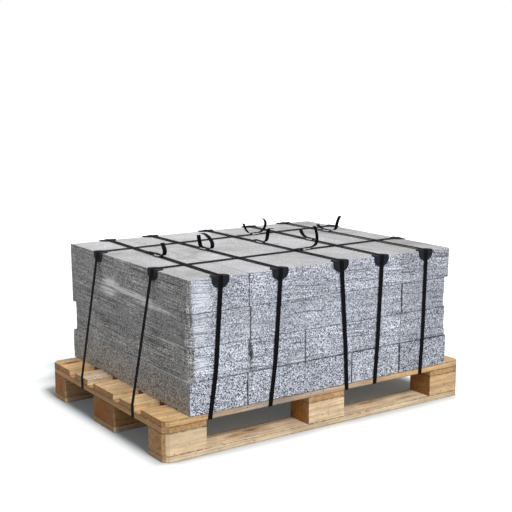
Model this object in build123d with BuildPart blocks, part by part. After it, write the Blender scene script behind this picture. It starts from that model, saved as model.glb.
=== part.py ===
from build123d import *
from math import cos, radians, sin
import os

os.makedirs("parts", exist_ok=True)

# A strapped pack of granite kerbs on a four-way wooden pallet, in millimetres.
# X runs along the long side, Y from the front to the back, Z up from the floor.

# Pallet
PALLET_LENGTH = 1200.0
PALLET_WIDTH = 800.0
BOARD = 19.0
WIDE = 145.0
NARROW = 100.0
BLOCK_LENGTH = 145.0
BLOCK_HEIGHT = 70.0
CORNER_CUT = 18.0
EDGE_BREAK = 1.2

STRINGER_BASE = BOARD + BLOCK_HEIGHT
DECK_BASE = STRINGER_BASE + BOARD
DECK_TOP = DECK_BASE + BOARD
DECK_GAP = (PALLET_WIDTH - 3 * WIDE - 2 * NARROW) / 4

# Kerbs
KERB_HEIGHT = 102.4
ARRIS = 2.5
CORE_INSET = 36.0
CORE_COVER = 9.0
STACK_LEFT = -512.0
STACK_RIGHT = 522.0
STACK_FRONT = -399.5
STACK_BACK = 412.0
STACK_TOP = DECK_TOP + 4 * KERB_HEIGHT

# Straps, buckles and corner protectors
STRAP_WIDTH = 16.0
STRAP_THICKNESS = 0.8
STRAP_PLAY = 0.35
WIRE = 3.0
WIRE_SIDES = 8
BUCKLE_LENGTH = 31.0
BUCKLE_WIDTH = 22.0
BUCKLE_BEND = 5.0
MIDDLE_BAR = 4.0
LEAF = 3.0
LEAF_DROP = 33.0
LEAF_WIDTH = 61.0
LEAF_SIDES = 14
FACE_LEAF_STRAIGHT = 8.0
TOP_LEAF_STRAIGHT = 6.0
TOP_LEAF_DEPTH = 32.0
CROSS_TOP_LEAF = 3.5
LONG_TOP_LEAF = 2.5


def save(piece, name):
    piece.label = name
    export_step(piece, f"parts/{name}.step")


# Deck boards: five boards along X, wide ones at the edges and in the middle
deck_widths = [WIDE, NARROW, WIDE, NARROW, WIDE]
edge = -PALLET_WIDTH / 2
for number, width in enumerate(deck_widths, start=1):
    centre = edge + width / 2
    edge = edge + width + DECK_GAP
    with BuildPart() as deck_board:
        with BuildSketch(Plane.XY.offset(DECK_BASE)) as outline:
            with Locations((0, centre)):
                Rectangle(PALLET_LENGTH, width)
            if number == 1:
                chamfer(outline.vertices().group_by(Axis.Y)[0], CORNER_CUT)
            if number == 5:
                chamfer(outline.vertices().group_by(Axis.Y)[-1], CORNER_CUT)
        extrude(amount=BOARD)
        chamfer(deck_board.edges().filter_by(Axis.X), EDGE_BREAK)
    save(deck_board.part, f"deck_board_{number}")

# Stringer boards: three boards across the pallet between the deck and the blocks
stringer_centres = [-PALLET_LENGTH / 2 + WIDE / 2, 0.0, PALLET_LENGTH / 2 - WIDE / 2]
for number, centre in enumerate(stringer_centres, start=1):
    with BuildPart() as stringer_board:
        with BuildSketch(Plane.XY.offset(STRINGER_BASE)) as outline:
            with Locations((centre, 0)):
                Rectangle(WIDE, PALLET_WIDTH)
            if number == 1:
                chamfer(outline.vertices().group_by(Axis.X)[0], CORNER_CUT)
            if number == 3:
                chamfer(outline.vertices().group_by(Axis.X)[-1], CORNER_CUT)
        extrude(amount=BOARD)
        chamfer(stringer_board.edges().filter_by(Axis.Y), EDGE_BREAK)
    save(stringer_board.part, f"stringer_board_{number}")

# Bottom boards: three runners along X under the blocks
row_centres = [-PALLET_WIDTH / 2 + NARROW / 2, 0.0, PALLET_WIDTH / 2 - NARROW / 2]
row_widths = [NARROW, WIDE, NARROW]
for number, (centre, width) in enumerate(zip(row_centres, row_widths), start=1):
    with BuildPart() as bottom_board:
        with BuildSketch() as outline:
            with Locations((0, centre)):
                Rectangle(PALLET_LENGTH, width)
            if number == 1:
                chamfer(outline.vertices().group_by(Axis.Y)[0], CORNER_CUT)
            if number == 3:
                chamfer(outline.vertices().group_by(Axis.Y)[-1], CORNER_CUT)
        extrude(amount=BOARD)
        chamfer(bottom_board.edges().filter_by(Axis.X), EDGE_BREAK)
    save(bottom_board.part, f"bottom_board_{number}")

# Blocks: nine, under the crossings of the stringer boards and the bottom boards
number = 0
for row, (y_centre, width) in enumerate(zip(row_centres, row_widths)):
    for column, x_centre in enumerate(stringer_centres):
        number = number + 1
        with BuildPart() as block:
            with BuildSketch(Plane.XY.offset(BOARD)) as outline:
                with Locations((x_centre, y_centre)):
                    Rectangle(BLOCK_LENGTH, width)
                if row != 1 and column != 1:
                    side = outline.vertices().group_by(Axis.X)[0 if column == 0 else -1]
                    corner = side.sort_by(Axis.Y)[0 if row == 0 else -1]
                    chamfer(corner, CORNER_CUT)
            extrude(amount=BLOCK_HEIGHT)
        save(block.part, f"block_{number}")

# Kerbs: four layers, each with its kerbs side by side and cut apart by their joints.
# Every kerb is (left, right, front, back).
layer_bottom = [
    (-512.0, -308.0, -399.5, 7.0),
    (-509.0, -307.5, 10.0, 412.0),
    (-305.5, -88.0, -398.5, 8.0),
    (-306.0, -88.5, 11.0, 410.0),
    (-86.5, 102.0, -399.0, 6.0),
    (-87.0, 103.0, 9.0, 412.0),
    (104.0, 308.5, -398.0, 8.0),
    (104.5, 309.0, 10.5, 411.0),
    (310.5, 524.0, -399.0, 7.5),
    (311.0, 522.5, 10.0, 409.5),
]
layer_second = [
    (-506.0, -299.0, -398.5, 6.5),
    (-507.5, -299.5, 10.5, 392.0),
    (-296.5, -88.0, -397.5, 8.5),
    (-297.0, -88.0, 11.5, 409.0),
    (-86.5, 104.5, -398.5, 5.5),
    (-86.5, 104.0, 8.5, 411.0),
    (106.0, 313.0, -397.5, 7.0),
    (105.5, 312.0, 10.0, 412.0),
    (314.5, 523.0, -398.5, 8.0),
    (314.0, 521.0, 10.5, 410.5),
]
layer_third = [
    (-511.0, -297.0, -398.5, 411.5),
    (-295.5, -88.5, -399.0, 7.5),
    (-295.5, -88.0, 10.5, 410.5),
    (-87.0, 104.5, -398.0, 8.0),
    (-86.5, 104.0, 11.0, 411.5),
    (106.0, 314.0, -398.5, 7.0),
    (105.5, 314.0, 9.5, 409.5),
    (316.0, 518.0, -399.0, 6.5),
    (316.0, 519.5, 9.5, 411.0),
]
layer_top = [
    (-512.0, -301.5, -399.0, 412.0),
    (-300.5, -88.0, -399.5, 7.5),
    (-300.5, -88.0, 9.0, 411.5),
    (-87.0, 104.5, -398.5, 8.0),
    (-87.0, 104.5, 9.5, 410.5),
    (105.5, 317.0, -399.0, 411.0),
    (318.0, 532.0, -399.5, 412.0),
]
for number, kerbs in enumerate([layer_bottom, layer_second, layer_third, layer_top], start=1):
    base = DECK_TOP + (number - 1) * KERB_HEIGHT
    with BuildPart() as kerb_layer:
        for left, right, front, back in kerbs:
            with BuildPart(mode=Mode.PRIVATE) as kerb:
                with BuildSketch(Plane.XY.offset(base)):
                    with Locations(((left + right) / 2, (front + back) / 2)):
                        Rectangle(right - left, back - front)
                extrude(amount=KERB_HEIGHT)
                chamfer(kerb.edges(), ARRIS)
            add(kerb.part)
        with BuildSketch(Plane.XY.offset(base + CORE_COVER)):
            with Locations(((STACK_LEFT + STACK_RIGHT) / 2, (STACK_FRONT + STACK_BACK) / 2)):
                Rectangle(
                    STACK_RIGHT - STACK_LEFT - 2 * CORE_INSET,
                    STACK_BACK - STACK_FRONT - 2 * CORE_INSET,
                )
        extrude(amount=KERB_HEIGHT - 2 * CORE_COVER)
    save(kerb_layer.part, f"kerb_layer_{number}")


# Corner protectors: a half-moon leaf down the face, a shorter leaf on the top and a round fold
def half_moon(straight, reach):
    """A leaf's outline, straight-sided near the fold and rounded in a few flats beyond it."""
    rounded = [180 * step / LEAF_SIDES for step in range(LEAF_SIDES + 1)]
    return [
        (LEAF_WIDTH / 2 * cos(radians(angle)), straight + (reach - straight) * sin(radians(angle)))
        for angle in rounded
    ]


def corner_protector(top_leaf):
    """The fold runs along X at the stone's top edge, and the face leaf hangs on its -Y side."""
    with BuildPart() as protector:
        with BuildSketch(Plane.XZ):
            with BuildLine():
                Polyline(
                    (-LEAF_WIDTH / 2, top_leaf),
                    (LEAF_WIDTH / 2, top_leaf),
                    *half_moon(-FACE_LEAF_STRAIGHT, -LEAF_DROP),
                    close=True,
                )
            make_face()
        extrude(amount=LEAF)
        with BuildSketch(Plane.XY):
            with BuildLine():
                Polyline(
                    (-LEAF_WIDTH / 2, -LEAF),
                    (LEAF_WIDTH / 2, -LEAF),
                    *half_moon(TOP_LEAF_STRAIGHT, TOP_LEAF_DEPTH),
                    close=True,
                )
            make_face()
        extrude(amount=top_leaf)
        fold = protector.edges().filter_by(Axis.X).group_by(Axis.Z)[-1].sort_by(Axis.Y)[0]
        fillet(fold, top_leaf - 0.05)
    return protector.part


# Buckles: a ring of galvanised wire with two middle bars for the strap ends
def wire_buckle():
    """The strap runs along Y, and the wire's centre line lies in the XY plane."""
    half_width = BUCKLE_WIDTH / 2
    half_length = BUCKLE_LENGTH / 2
    flat_up = 180 / WIRE_SIDES
    with BuildPart() as buckle:
        with BuildLine():
            Polyline(
                (half_width, 0),
                (half_width, half_length - BUCKLE_BEND),
                (half_width - BUCKLE_BEND, half_length),
                (BUCKLE_BEND - half_width, half_length),
                (-half_width, half_length - BUCKLE_BEND),
                (-half_width, 0),
            )
            mirror(about=Plane.XZ)
        with BuildSketch(Plane(origin=(half_width, 0, 0), z_dir=(0, 1, 0))):
            RegularPolygon(WIRE / 2, WIRE_SIDES, rotation=flat_up)
        sweep(transition=Transition.RIGHT)
        with BuildSketch(Plane.YZ.offset(-half_width)):
            with Locations((-MIDDLE_BAR, 0), (MIDDLE_BAR, 0)):
                RegularPolygon(WIRE / 2, WIRE_SIDES, rotation=flat_up)
        extrude(amount=BUCKLE_WIDTH)
    return buckle.part


# Straps: one flat band each, from the tip of one tail round the pack to the tip of the other
TAIL_START = 2.5
HALF = STRAP_PLAY + STRAP_THICKNESS / 2
TURN = WIRE / 2 + HALF
UP = Vector(0, 0, 1)


def top_run(middle, fold, top_leaf, lean, tail):
    """From a tail's tip through the buckle and along the top to where the fold's bend ends.
    A tail leaves the buckle level, as arcs of (radius, degrees turned upwards) to its tip."""
    heading = (fold - middle).normalized()
    reach = (fold - middle).length
    bend = top_leaf + HALF
    tip = Vector(BUCKLE_LENGTH / 2 + TAIL_START, 2 * TURN)
    going = Vector(1, 0)
    with BuildPart() as run:
        with BuildSketch(Plane(origin=middle, x_dir=heading, z_dir=heading.cross(UP))):
            with BuildLine():
                Line((MIDDLE_BAR, 2 * TURN), tip)
                for radius, turn in tail:
                    curl = JernArc(tip, going, radius, turn)
                    tip = curl @ 1
                    going = curl % 1
                CenterArc((MIDDLE_BAR, TURN), TURN, 90, 180)
                Line((MIDDLE_BAR, 0), (reach, 0))
                CenterArc((reach, -bend), bend, lean, 90 - lean)
            trace(line_width=STRAP_THICKNESS)
        extrude(amount=STRAP_WIDTH / 2, both=True)
    return run.part


def bend_end(middle, fold, top_leaf, lean, across, going):
    """The section where a top run ends, square to the band there, for a band that goes
    down (-1) or up (1) and whose width points along the given direction."""
    heading = (fold - middle).normalized()
    bend = top_leaf + HALF
    out = heading * cos(radians(lean)) + UP * sin(radians(lean))
    along = UP * cos(radians(lean)) - heading * sin(radians(lean))
    square = heading.cross(UP)
    if square.dot(across) < 0:
        square = square * -1
    return Plane(origin=fold - UP * bend + out * bend, x_dir=square, z_dir=along * going)


def in_line(middle, fold):
    """Where a buckle sits, with its length along the band."""
    return Plane(origin=middle + UP * TURN, x_dir=(fold - middle).cross(UP), z_dir=UP)


def strap(near_run, far_run, sections):
    """Both top runs joined by the band that goes down, under the boards and up again."""
    with BuildPart() as body:
        for start, end in zip(sections, sections[1:]):
            with BuildSketch(start):
                Rectangle(STRAP_WIDTH, STRAP_THICKNESS)
            with BuildSketch(end):
                Rectangle(STRAP_WIDTH, STRAP_THICKNESS)
            loft(ruled=True)
        add(near_run)
        add(far_run)
    return body.part


# Across the pack and under the deck boards: x at the front top, where the front length turns
# at the bottom layer, front foot, back foot and back top, y of the buckle, both tails
cross_straps = [
    (-403.5, -421.5, -444, -412, -370, 0, [(150, 4), (15, 131), (50, -22)], [(300, -4), (600, 4)]),
    (-187, -204, -223.5, -214, -197, 32, [(250, 4), (14.5, 133), (80, 54)], [(12, 67), (170, 11)]),
    (51, 74, 81.5, 82, 42, 42, [(20, 72), (110, 13), (14.5, -80), (200, -5)], [(150, 7)]),
    (221, 211, 201, 206, 241, -5, [(120, 9)], [(100, 8), (40, 57)]),
    (417.5, 413.5, 405, 409, 407, 127, [(90, 12), (22, 66), (95, -28)], [(70, 36)]),
]
cross_level = STACK_TOP + CROSS_TOP_LEAF + HALF
front_edge = -PALLET_WIDTH / 2
back_edge = PALLET_WIDTH / 2
leaf_foot = STACK_TOP - LEAF_DROP - 2
turn_height = DECK_TOP + 1.25 * KERB_HEIGHT
ACROSS_X = Vector(1, 0, 0)
DOWN = Vector(0, 0, -1)
BACKWARDS = Vector(0, 1, 0)
for number, cross in enumerate(cross_straps, start=1):
    front_top, front_turn, front_foot, back_foot, back_top, y_buckle, front_tail, back_tail = cross
    front_fold = Vector(front_top, STACK_FRONT - LEAF + CROSS_TOP_LEAF, cross_level)
    back_fold = Vector(back_top, STACK_BACK + LEAF - CROSS_TOP_LEAF, cross_level)
    share = (y_buckle - front_fold.Y) / (back_fold.Y - front_fold.Y)
    middle = front_fold + (back_fold - front_fold) * share
    front_drift = front_top + (front_turn - front_top) * LEAF_DROP / (STACK_TOP - turn_height)
    back_drift = back_top + (back_foot - back_top) * LEAF_DROP / (STACK_TOP - DECK_BASE)
    sections = [
        bend_end(middle, front_fold, CROSS_TOP_LEAF, 0, ACROSS_X, -1),
        Plane((front_drift, STACK_FRONT - LEAF - HALF, leaf_foot), ACROSS_X, DOWN),
        Plane((front_turn, front_edge - HALF - 0.6, turn_height), ACROSS_X, DOWN),
        Plane((front_foot, front_edge - HALF, DECK_BASE + 0.6), ACROSS_X, DOWN),
        Plane((front_foot, front_edge + 0.6, DECK_BASE - HALF), ACROSS_X, BACKWARDS),
        Plane((back_foot, back_edge, DECK_BASE - HALF), ACROSS_X, BACKWARDS),
        Plane((back_foot, STACK_BACK + HALF, DECK_TOP + 2), ACROSS_X, UP),
        Plane((back_drift, STACK_BACK + LEAF + HALF, leaf_foot), ACROSS_X, UP),
        bend_end(middle, back_fold, CROSS_TOP_LEAF, 0, ACROSS_X, 1),
    ]
    front_run = top_run(middle, front_fold, CROSS_TOP_LEAF, 0, front_tail)
    back_run = top_run(middle, back_fold, CROSS_TOP_LEAF, 0, back_tail)
    save(strap(front_run, back_run, sections), f"strap_cross_{number}")
    save(in_line(middle, back_fold) * wire_buckle(), f"buckle_cross_{number}")
    at_the_front = Pos(front_top, STACK_FRONT, STACK_TOP)
    save(at_the_front * corner_protector(CROSS_TOP_LEAF), f"corner_protector_front_{number}")
    at_the_back = Pos(back_top, STACK_BACK, STACK_TOP) * Rot(0, 0, 180)
    save(at_the_back * corner_protector(CROSS_TOP_LEAF), f"corner_protector_back_{number}")

# Along the pack and under the stringer boards: y at the left top, left foot, right foot and
# right top, x of the buckle, left tail, right tail. The band leans out to the pallet's ends.
long_straps = [
    (-186, -204, -184, -141, 88, [(800, -2)], [(75, 15), (21, 72), (85, 35)]),
    (190, 154, 196, 238, 140, [(18, 45), (75, 30)], [(34, 75), (21.5, 100)]),
]
long_level = STACK_TOP + LONG_TOP_LEAF + HALF
right_top = 532.0
left_edge = -PALLET_LENGTH / 2
right_edge = PALLET_LENGTH / 2
LEFT_LEAN = 11.7
RIGHT_LEAN = 8.6
ACROSS_Y = Vector(0, -1, 0)
RIGHTWARDS = Vector(1, 0, 0)
for number, (left_y, left_foot, right_foot, right_y, x_buckle, left_tail, right_tail) in (
    enumerate(long_straps, start=1)
):
    left_fold = Vector(STACK_LEFT - LEAF + LONG_TOP_LEAF, left_y, long_level)
    right_fold = Vector(right_top + LEAF - LONG_TOP_LEAF, right_y, long_level)
    share = (x_buckle - left_fold.X) / (right_fold.X - left_fold.X)
    middle = left_fold + (right_fold - left_fold) * share
    left_bend = bend_end(middle, left_fold, LONG_TOP_LEAF, LEFT_LEAN, ACROSS_Y, -1)
    right_bend = bend_end(middle, right_fold, LONG_TOP_LEAF, RIGHT_LEAN, ACROSS_Y, 1)
    sections = [
        left_bend,
        Plane((left_edge - HALF - 0.2, left_foot, DECK_TOP + 0.6), left_bend.x_dir, DOWN),
        Plane((left_edge - HALF, left_foot, STRINGER_BASE + 0.6), ACROSS_Y, DOWN),
        Plane((left_edge + 0.6, left_foot, STRINGER_BASE - HALF), ACROSS_Y, RIGHTWARDS),
        Plane((right_edge - 0.6, right_foot, STRINGER_BASE - HALF), ACROSS_Y, RIGHTWARDS),
        Plane((right_edge + HALF, right_foot, STRINGER_BASE + 0.6), ACROSS_Y, UP),
        Plane((right_edge + HALF + 0.2, right_foot, DECK_TOP + 0.6), right_bend.x_dir, UP),
        right_bend,
    ]
    left_run = top_run(middle, left_fold, LONG_TOP_LEAF, LEFT_LEAN, left_tail)
    right_run = top_run(middle, right_fold, LONG_TOP_LEAF, RIGHT_LEAN, right_tail)
    save(strap(left_run, right_run, sections), f"strap_long_{number}")
    save(in_line(middle, right_fold) * wire_buckle(), f"buckle_long_{number}")
    at_the_left = Pos(STACK_LEFT, left_y, STACK_TOP) * Rot(0, 0, -90)
    save(at_the_left * corner_protector(LONG_TOP_LEAF), f"corner_protector_left_{number}")
    at_the_right = Pos(right_top, right_y, STACK_TOP) * Rot(0, 0, 90)
    save(at_the_right * corner_protector(LONG_TOP_LEAF), f"corner_protector_right_{number}")
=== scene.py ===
import itertools
import math

import bpy
import numpy as np
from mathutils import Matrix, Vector


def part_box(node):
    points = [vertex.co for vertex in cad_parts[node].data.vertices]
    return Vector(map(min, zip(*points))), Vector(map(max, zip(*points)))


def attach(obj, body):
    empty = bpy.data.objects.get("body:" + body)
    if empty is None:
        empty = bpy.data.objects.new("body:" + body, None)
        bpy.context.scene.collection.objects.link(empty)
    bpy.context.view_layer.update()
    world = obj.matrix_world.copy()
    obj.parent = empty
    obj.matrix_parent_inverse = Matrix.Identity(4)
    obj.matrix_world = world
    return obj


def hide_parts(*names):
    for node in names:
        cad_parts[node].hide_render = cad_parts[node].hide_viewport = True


# A strapped pack of granite kerbs on a wooden pallet, in metres, in the frame of its solids.
# X runs along the long side, Y from the front to the back, Z up from the floor.

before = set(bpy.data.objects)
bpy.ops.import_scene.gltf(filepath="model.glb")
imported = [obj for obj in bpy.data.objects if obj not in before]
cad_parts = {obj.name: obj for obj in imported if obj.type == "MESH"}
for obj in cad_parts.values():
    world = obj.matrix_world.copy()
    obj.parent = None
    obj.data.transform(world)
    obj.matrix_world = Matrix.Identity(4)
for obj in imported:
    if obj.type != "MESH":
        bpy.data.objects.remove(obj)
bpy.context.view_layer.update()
scene = bpy.context.scene
scene.view_settings.view_transform = "Standard"
BODY = "root"
MM = 0.001

# Sizes shared with the solids
BOARD = 19 * MM
CORNER_CUT = 18 * MM
DECK_TOP = 127 * MM
DECK_BASE = 108 * MM
STRINGER_BASE = 89 * MM
KERB_HEIGHT = 102.4 * MM
STACK_TOP = DECK_TOP + 4 * KERB_HEIGHT
STACK_LEFT = -512 * MM
STACK_FRONT = -399.5 * MM
STACK_BACK = 412 * MM
RIGHT_TOP = 532 * MM
PALLET_HALF_LENGTH = 600 * MM
PALLET_HALF_WIDTH = 400 * MM
STRAP_THICKNESS = 0.8 * MM
STRAP_PLAY = 0.35 * MM
WIRE = 3 * MM
BUCKLE_LENGTH = 31 * MM
BUCKLE_WIDTH = 22 * MM
BUCKLE_BEND = 5 * MM
MIDDLE_BAR = 4 * MM
LEAF = 3 * MM
LEAF_DROP = 33 * MM
LEAF_WIDTH = 61 * MM
FACE_LEAF_STRAIGHT = 8 * MM
TOP_LEAF_STRAIGHT = 6 * MM
TOP_LEAF_DEPTH = 32 * MM
CROSS_TOP_LEAF = 3.5 * MM
LONG_TOP_LEAF = 2.5 * MM
TAIL_START = 2.5 * MM
# From a surface to the middle of the band on it, and from a bar's middle to that of the band round it
HALF = STRAP_PLAY + STRAP_THICKNESS / 2
TURN = WIRE / 2 + HALF
# The bands are a little narrower here than the 16 mm of their solids
STRAP_WIDTH = 15.2 * MM
UP = np.array([0.0, 0.0, 1.0])


# Camera: a long lens from the front left, a little above the pack
def make_camera():
    data = bpy.data.cameras.new("camera")
    data.sensor_width = 36.0
    data.lens = 72.56
    data.clip_end = 100.0
    camera = bpy.data.objects.new("camera", data)
    camera.location = (-1.998, -2.914, 1.114)
    camera.rotation_euler = (math.radians(80.17), 0.0, math.radians(-34.39))
    scene.collection.objects.link(camera)
    scene.camera = camera


class Nodes:
    """One shader's nodes. Each method makes a node and gives its output, to feed to the next one.
    Colours are red, green and blue."""

    def __init__(self, tree):
        self.tree = tree
        tree.nodes.clear()

    def add(self, kind, sockets=None, **settings):
        made = self.tree.nodes.new("ShaderNode" + kind)
        for key, value in settings.items():
            setattr(made, key, value)
        for key, value in (sockets or {}).items():
            socket = made.inputs[key]
            if isinstance(value, bpy.types.NodeSocket):
                self.tree.links.new(value, socket)
            elif socket.type == "RGBA":
                socket.default_value = (*value, 1.0)
            else:
                socket.default_value = value
        return made

    def finish(self, kind, shader):
        self.add("Output" + kind, {0: shader.outputs[0]})

    def surface(self, colour, roughness, normal, metallic=0.0, specular=0.5):
        self.finish("Material", self.add("BsdfPrincipled", {
            "Base Color": colour, "Roughness": roughness, "Normal": normal,
            "Metallic": metallic, "Specular IOR Level": specular,
        }))

    def place(self):
        return self.add("TexCoord").outputs["Object"]

    def attribute(self, name, output="Fac"):
        return self.add("Attribute", attribute_name=name).outputs[output]

    def apart(self, vector):
        return self.add("SeparateXYZ", {0: vector}).outputs

    def seen(self):
        """1 for what the lens sees, straight or by way of a shine, and 0 for light that bounces."""
        path = self.add("LightPath").outputs
        seen = self.math("MAXIMUM", path["Is Camera Ray"], path["Is Glossy Ray"])
        return self.math("MAXIMUM", seen, path["Is Transmission Ray"])

    def math(self, operation, first, second=0.0, third=0.0, clamp=False):
        sockets = {0: first, 1: second, 2: third}
        return self.add("Math", sockets, operation=operation, use_clamp=clamp).outputs[0]

    def times(self, first, second, clamp=False):
        return self.math("MULTIPLY", first, second, clamp=clamp)

    def times_plus(self, first, second, third):
        return self.math("MULTIPLY_ADD", first, second, third)

    def faded(self, factor, share):
        """The factor where the share is 1, and 1 where the share is 0."""
        return self.times_plus(self.math("SUBTRACT", factor, 1.0), share, 1.0)

    def span(self, value, low, high, to_low=0.0, to_high=1.0):
        """The value's way from low to high, told as a way from to_low to to_high."""
        sockets = {0: value, 1: low, 2: high, 3: to_low, 4: to_high}
        return self.add("MapRange", sockets, clamp=True).outputs[0]

    def between(self, value, rise, fall):
        """1 between two soft edges and 0 outside them."""
        return self.times(self.span(value, *rise), self.span(value, *fall, 1.0, 0.0))

    def vector(self, operation, first, second=(0, 0, 0), output=0):
        return self.add("VectorMath", {0: first, 1: second}, operation=operation).outputs[output]

    def scaled(self, vector, scale):
        return self.vector("MULTIPLY", vector, scale)

    def stretched(self, values, scales):
        """A vector of three values, each with its own scale."""
        parts = [self.times(value, scale) for value, scale in zip(values, scales)]
        return self.add("CombineXYZ", dict(enumerate(parts))).outputs[0]

    def shaken(self, place, noise_place, scale, detail, reach):
        """A place moved about by a noise, as far as the reach along each axis."""
        sockets = {"Vector": noise_place, "Scale": scale, "Detail": detail}
        wander = self.add("TexNoise", sockets).outputs["Color"]
        wander = self.vector("SUBTRACT", wander, (0.5, 0.5, 0.5))
        return self.vector("ADD", place, self.scaled(wander, reach))

    def mix(self, share, first, second):
        return self.add("Mix", {0: share, 2: first, 3: second}).outputs[0]

    def blend(self, share, first, second, mode="MIX"):
        sockets = {"Fac": share, "Color1": first, "Color2": second}
        return self.add("MixRGB", sockets, blend_type=mode).outputs[0]

    def tinted(self, colour, tint):
        return self.blend(1.0, colour, tint, "MULTIPLY")

    def ramp(self, value, stops, interpolation="LINEAR"):
        """Stops are (place, colour), with a grey written as one number."""
        made = self.add("ValToRGB", {"Fac": value})
        ramp = made.color_ramp
        ramp.interpolation = interpolation
        while len(ramp.elements) < len(stops):
            ramp.elements.new(1.0)
        for element, (place, colour) in zip(ramp.elements, stops):
            element.position = place
            if isinstance(colour, (int, float)):
                colour = (colour, colour, colour)
            element.color = (*colour, 1.0)
        return made.outputs[0]

    def noise(self, place, scale, detail=2.0, roughness=0.5, distortion=0.0):
        return self.add("TexNoise", {
            "Vector": place, "Scale": scale, "Detail": detail,
            "Roughness": roughness, "Distortion": distortion,
        }).outputs[0]

    def cell_distance(self, place, scale):
        return self.add("TexVoronoi", {"Vector": place, "Scale": scale}).outputs["Distance"]

    def cells(self, place, scale, channel):
        """A chance value from 0 to 1 for each small cell."""
        colour = self.add("TexVoronoi", {"Vector": place, "Scale": scale}).outputs["Color"]
        return self.add("SeparateColor", {"Color": colour}).outputs[channel]

    def bump(self, height, strength, distance):
        sockets = {"Height": height, "Strength": strength, "Distance": distance}
        return self.add("Bump", sockets).outputs[0]


def new_material(name):
    material = bpy.data.materials.new(name)
    material.use_nodes = True
    return material, Nodes(material.node_tree)


# Lights and floor: one soft key from the front, even fill, and a white ground with painted shadow and
# painted light on it
WHITE = (1.0, 1.0, 1.0)
SUN_STRENGTH = 2.9
SUN_WIDTH = math.radians(16)
SUN_COLOUR = (0.98, 0.99, 1.0)
TOWARDS_SUN = (0.0, -0.66, 0.75)
FILL = 0.34
GROUND_RADIUS = 30.0
GROUND_SIDES = 64
# The ground's tints and painted shadow colours, and the painted light that clears its real shadow to white
# where the ground is to look white
COOL_PAINTED_SHADE = (0.90, 0.98, 1.0)
PAINTED_SHADOW_GREY = (0.34, 0.36, 0.38)
PAINTED_SHADOW_BLACK = (0.0, 0.0, 0.0)
BOUNCE = (0.42, 0.42, 0.42)
PAINTED_LIGHT_COLOUR = (0.84, 0.97, 1.0)
# Soft edges of the ground's painted shadow and painted light, each as where it starts and where it ends
SHADE_FRONT = (-0.415, -0.385)
SHADE_BACK = (0.40, 0.50)
SHADE_LEFT = (-0.62, -0.60)
SHADE_RIGHT = (0.58, 0.62)
CONTACT_LEFT = (-0.642, -0.588)
CONTACT_RIGHT = (-0.50, -0.36)
STRIP_FRONT = (-0.444, -0.402)
STRIP_BACK = (-0.40, -0.39)
STRIP_LEFT = (-0.60, -0.56)
PAINTED_LIGHT_RIGHT = (0.55, 0.60)
PAINTED_LIGHT_BACK = (0.60, 0.70)


def make_lights():
    data = bpy.data.lights.new("key", "SUN")
    data.energy = SUN_STRENGTH
    data.angle = SUN_WIDTH
    data.color = SUN_COLOUR
    key = bpy.data.objects.new("key", data)
    key.rotation_euler = Vector(TOWARDS_SUN).to_track_quat("Z", "Y").to_euler()
    scene.collection.objects.link(key)

    world = bpy.data.worlds.new("studio")
    world.use_nodes = True
    nodes = Nodes(world.node_tree)
    strength = nodes.span(nodes.seen(), 0.0, 1.0, FILL, 1.0)
    nodes.finish("World", nodes.add("Background", {"Color": WHITE, "Strength": strength}))
    scene.world = world


def ground_material():
    """White, with painted shadow under the pack and beside its front and left edges, and painted light that
    clears the real shadow to its right and behind it.
    """
    material, nodes = new_material("white_ground_with_painted_shadow")
    across, along, _ = nodes.apart(nodes.place())
    # Painted shadow: a dark patch at the pack's left side, a cool tint on the shade under it, and a dark
    # strip along its front
    shadow_band = nodes.between(along, SHADE_FRONT, SHADE_BACK)
    painted_contact_shadow = nodes.times(shadow_band, nodes.between(across, CONTACT_LEFT, CONTACT_RIGHT))
    under = nodes.times(shadow_band, nodes.between(across, SHADE_LEFT, SHADE_RIGHT))
    painted_front_shadow = nodes.times(nodes.span(along, *STRIP_FRONT, 0.0, 0.46), nodes.span(along, *STRIP_BACK, 1.0, 0.0))
    painted_front_shadow = nodes.times(painted_front_shadow, nodes.between(across, STRIP_LEFT, SHADE_RIGHT))
    ground = nodes.blend(under, WHITE, COOL_PAINTED_SHADE)
    ground = nodes.blend(painted_contact_shadow, ground, PAINTED_SHADOW_GREY)
    ground = nodes.blend(painted_front_shadow, ground, PAINTED_SHADOW_BLACK)
    # Painted light: a faint glow over the whole ground, stronger to the right of the pack and behind it,
    # where it clears the real shadow to white
    clear = nodes.span(across, *PAINTED_LIGHT_RIGHT, 0.06, 0.50)
    clear = nodes.math("MAXIMUM", clear, nodes.span(along, *PAINTED_LIGHT_BACK, 0.0, 0.55))
    shown = nodes.add("BsdfDiffuse", {"Color": ground})
    painted_light_glow = nodes.add("Emission", {"Color": PAINTED_LIGHT_COLOUR, "Strength": clear})
    bright = nodes.add("AddShader", {0: shown.outputs[0], 1: painted_light_glow.outputs[0]})
    bounced = nodes.add("BsdfDiffuse", {"Color": BOUNCE})
    sockets = {0: nodes.seen(), 1: bounced.outputs[0], 2: bright.outputs[0]}
    nodes.finish("Material", nodes.add("MixShader", sockets))
    return material


def make_floor():
    angles = [2 * math.pi * step / GROUND_SIDES for step in range(GROUND_SIDES)]
    ring = [(GROUND_RADIUS * math.cos(angle), GROUND_RADIUS * math.sin(angle), 0.0) for angle in angles]
    wedges = [(0, 1 + step, 1 + (step + 1) % GROUND_SIDES) for step in range(GROUND_SIDES)]
    mesh = bpy.data.meshes.new("floor")
    mesh.from_pydata([(0.0, 0.0, 0.0)] + ring, [], wedges)
    floor = bpy.data.objects.new("floor", mesh)
    scene.collection.objects.link(floor)
    mesh.materials.append(ground_material())


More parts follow.
